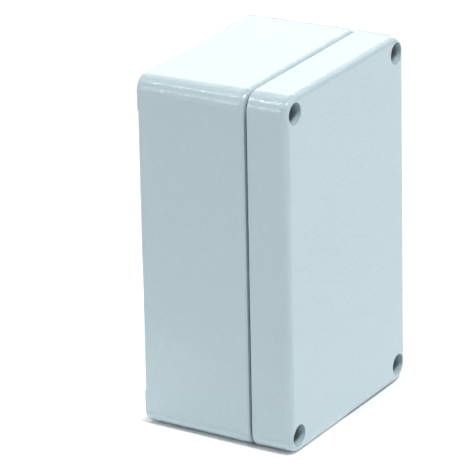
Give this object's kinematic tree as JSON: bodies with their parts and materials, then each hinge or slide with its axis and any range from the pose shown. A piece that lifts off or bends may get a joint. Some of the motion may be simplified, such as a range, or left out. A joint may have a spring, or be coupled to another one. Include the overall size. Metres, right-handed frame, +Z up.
{
  "type": "die cast aluminium box",
  "caption": "Plain powder coated die cast enclosure standing on its short end: deep base, screwed lid with counterbored corners, sealed joint, wall fixing holes under the lid.",
  "frame": {"origin": "middle of the footprint, on the floor, with the box standing on its short end", "axes": "+Z up along the 125 mm height; +X along the 80 mm width; +Y along the 57.5 mm depth from the lid, which faces -Y, to the back, which faces +Y and goes against the wall"},
  "size_m": [0.08, 0.0576, 0.125],
  "materials": {
    "powder_coat": "satin",
    "seal_rubber": "matte",
    "stainless_screw": "satin",
    "washer_polymer": "satin",
    "spring_steel": "satin",
    "earth_brass": "satin"
  },
  "bodies": {
    "base": {"base": "powder_coat"},
    "lid": {"lid": "powder_coat", "lid_gasket": "seal_rubber", "screw_keeper_upper_left": "washer_polymer", "screw_keeper_upper_right": "washer_polymer", "screw_keeper_lower_left": "washer_polymer", "screw_keeper_lower_right": "washer_polymer"},
    "washer_upper_left": {"screw_washer_upper_left": "washer_polymer"},
    "screw_upper_left": {"lid_screw_upper_left": "stainless_screw"},
    "washer_upper_right": {"screw_washer_upper_right": "washer_polymer"},
    "screw_upper_right": {"lid_screw_upper_right": "stainless_screw"},
    "washer_lower_left": {"screw_washer_lower_left": "washer_polymer"},
    "screw_lower_left": {"lid_screw_lower_left": "stainless_screw"},
    "washer_lower_right": {"screw_washer_lower_right": "washer_polymer"},
    "screw_lower_right": {"lid_screw_lower_right": "stainless_screw"},
    "earth_washers": {"earth_lock_washer": "spring_steel", "earth_clamp_washer": "earth_brass"},
    "earth_screw": {"earth_screw": "earth_brass"}
  },
  "joints": [
    {"name": "lid_lift", "type": "slide", "parent": "base", "child": "lid", "axis": [0, -1, 0], "range_m": [0, 0.08]},
    {"name": "screw_travel_upper_left", "type": "slide", "parent": "lid", "child": "washer_upper_left", "axis": [0, -1, 0], "range_m": [0, 0.007]},
    {"name": "screw_turn_upper_left", "type": "hinge", "parent": "washer_upper_left", "child": "screw_upper_left", "pos_m": [-0.0345, -0.01835, 0.119], "axis": [0, -1, 0], "range_deg": [0, 3600]},
    {"name": "screw_travel_upper_right", "type": "slide", "parent": "lid", "child": "washer_upper_right", "axis": [0, -1, 0], "range_m": [0, 0.007]},
    {"name": "screw_turn_upper_right", "type": "hinge", "parent": "washer_upper_right", "child": "screw_upper_right", "pos_m": [0.0345, -0.01835, 0.119], "axis": [0, -1, 0], "range_deg": [0, 3600]},
    {"name": "screw_travel_lower_left", "type": "slide", "parent": "lid", "child": "washer_lower_left", "axis": [0, -1, 0], "range_m": [0, 0.007]},
    {"name": "screw_turn_lower_left", "type": "hinge", "parent": "washer_lower_left", "child": "screw_lower_left", "pos_m": [-0.0345, -0.01835, 0.006], "axis": [0, -1, 0], "range_deg": [0, 3600]},
    {"name": "screw_travel_lower_right", "type": "slide", "parent": "lid", "child": "washer_lower_right", "axis": [0, -1, 0], "range_m": [0, 0.007]},
    {"name": "screw_turn_lower_right", "type": "hinge", "parent": "washer_lower_right", "child": "screw_lower_right", "pos_m": [0.0345, -0.01835, 0.006], "axis": [0, -1, 0], "range_deg": [0, 3600]},
    {"name": "earth_travel", "type": "slide", "parent": "base", "child": "earth_washers", "axis": [0, -1, 0], "range_m": [0, 0.0028]},
    {"name": "earth_turn", "type": "hinge", "parent": "earth_washers", "child": "earth_screw", "pos_m": [0, 0.01755, 0.012], "axis": [0, -1, 0], "range_deg": [0, 1440]}
  ],
  "couplings": [
    {"joint": "screw_turn_upper_left", "follows": "screw_travel_upper_left", "rad_per_m": 8976},
    {"joint": "screw_turn_upper_right", "follows": "screw_travel_upper_right", "rad_per_m": 8976},
    {"joint": "screw_turn_lower_left", "follows": "screw_travel_lower_left", "rad_per_m": 8976},
    {"joint": "screw_turn_lower_right", "follows": "screw_travel_lower_right", "rad_per_m": 8976},
    {"joint": "earth_turn", "follows": "earth_travel", "rad_per_m": 8976}
  ]
}
